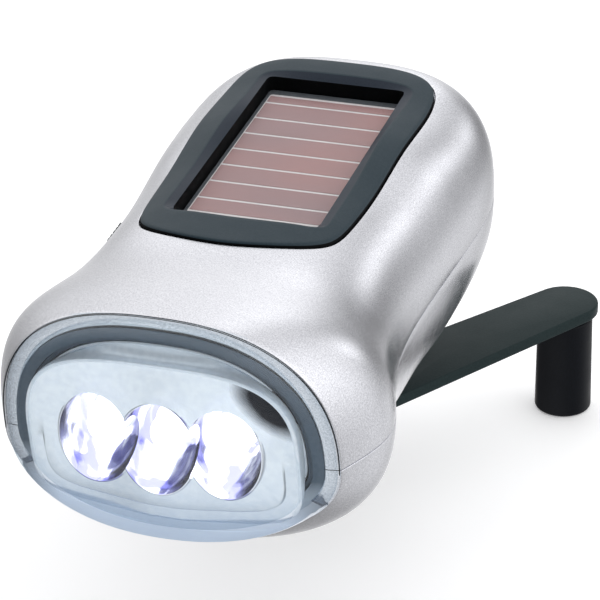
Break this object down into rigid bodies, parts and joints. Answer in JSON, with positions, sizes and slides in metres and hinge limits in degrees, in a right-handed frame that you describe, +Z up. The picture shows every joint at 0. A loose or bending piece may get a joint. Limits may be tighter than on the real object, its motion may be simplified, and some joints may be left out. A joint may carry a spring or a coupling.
{
  "type": "hand cranked solar flashlight",
  "caption": "Palm-sized flashlight with a clear bulbous head, a solar window in its back and a folding crank that drives a small generator.",
  "frame": {"origin": "middle of the base of the box round the whole object, with the crank swung out and its knob's foot at z = 0", "axes": "-Y is the way the lamps shine, +Z is up out of the solar window, and the plane where the two body shells meet is horizontal"},
  "size_m": [0.0664, 0.1166, 0.0671],
  "materials": {
    "silver": "satin metallic silver paint on plastic",
    "lens_clear": "polished clear plastic",
    "led_clear": "clear epoxy lamp, lit white",
    "mirror_plate": "vacuum-metallised plastic",
    "gasket": "soft black seal",
    "frame_dark": "dark moulded plastic",
    "bezel_slate": "fine matt moulded plastic",
    "window_glass": "clear flat glass",
    "cells": "reddish-brown thin-film cells with pale lines",
    "crank_dark": "dark grey moulded plastic",
    "black_plastic": "black moulded plastic",
    "steel": "plain steel",
    "brass": "plain brass",
    "copper": "enamelled copper wire",
    "gear_plastic": "off-white acetal",
    "board": "green circuit board",
    "magnet": "sintered magnet",
    "lead_red": "red insulated wire",
    "lead_black": "black insulated wire"
  },
  "bodies": {
    "torch": {"upper_shell": "silver", "lower_shell": "silver", "lens": "lens_clear", "lens_gasket": "gasket", "lamp_frame": "frame_dark", "reflector": "mirror_plate", "led_board": "board", "led_1": "led_clear", "led_2": "led_clear", "led_3": "led_clear", "solar_bezel": "bezel_slate", "solar_glass": "window_glass", "solar_cells": "cells", "chassis_plate": "frame_dark", "circuit_board": "board", "capacitor": "steel", "rectifier": "black_plastic", "battery_cradle": "frame_dark", "battery_cell_1": "steel", "battery_cell_2": "steel", "battery_cell_3": "steel", "battery_contact_left": "brass", "battery_contact_right": "brass", "switch_housing": "black_plastic", "crank_bush": "brass", "front_axle": "steel", "rear_axle": "steel", "stator_coil": "copper", "stator_frame": "steel", "stator_cap": "steel", "housing_screw_1": "steel", "housing_screw_2": "steel", "housing_screw_3": "steel", "housing_screw_4": "steel", "chassis_screw_1": "steel", "chassis_screw_2": "steel", "chassis_screw_3": "steel", "chassis_screw_4": "steel", "solar_lead_red": "lead_red", "solar_lead_black": "lead_black", "battery_lead_red": "lead_red", "battery_lead_black": "lead_black", "lamp_lead_red": "lead_red", "lamp_lead_black": "lead_black", "coil_lead_red": "lead_red", "coil_lead_black": "lead_black", "switch_lead_1": "lead_black", "switch_lead_2": "lead_black"},
    "crank": {"crank_hub": "crank_dark", "hinge_pin": "steel", "crank_gear": "gear_plastic", "crank_screw": "steel"},
    "arm": {"crank_arm": "crank_dark", "knob_spindle": "steel"},
    "knob": {"crank_knob": "black_plastic"},
    "rear_gear": {"rear_compound_gear": "gear_plastic"},
    "front_gear": {"front_compound_gear": "gear_plastic"},
    "rotor": {"rotor_pinion": "gear_plastic", "rotor_magnet": "magnet"},
    "switch": {"switch_slider": "crank_dark"}
  },
  "joints": [
    {"name": "crank_turn", "type": "hinge", "parent": "torch", "child": "crank", "pos_m": [-0.00529, 0.00527, 0.02], "axis": [0, 0, 1], "continuous": true},
    {"name": "crank_fold", "type": "hinge", "parent": "crank", "child": "arm", "pos_m": [0.00013, 0.01307, 0.02125], "axis": [-0.8211, 0.5707, 0], "range_deg": [0, 140]},
    {"name": "knob_spin", "type": "hinge", "parent": "arm", "child": "knob", "pos_m": [0.02787, 0.05298, 0.01], "axis": [0, 0, 1], "continuous": true},
    {"name": "rear_gear_spin", "type": "hinge", "parent": "torch", "child": "rear_gear", "pos_m": [-0.00529, 0.02277, 0.032], "axis": [0, 0, 1], "continuous": true},
    {"name": "front_gear_spin", "type": "hinge", "parent": "torch", "child": "front_gear", "pos_m": [-0.00529, 0.00527, 0.035], "axis": [0, 0, 1], "continuous": true},
    {"name": "rotor_spin", "type": "hinge", "parent": "torch", "child": "rotor", "pos_m": [-0.00529, 0.02277, 0.045], "axis": [0, 0, 1], "continuous": true},
    {"name": "switch_slide", "type": "slide", "parent": "torch", "child": "switch", "axis": [0, 1, 0], "range_m": [0, 0.004]}
  ],
  "couplings": [
    {"joint": "rear_gear_spin", "follows": "crank_turn", "ratio": -4},
    {"joint": "front_gear_spin", "follows": "crank_turn", "ratio": 16},
    {"joint": "rotor_spin", "follows": "crank_turn", "ratio": -64}
  ]
}
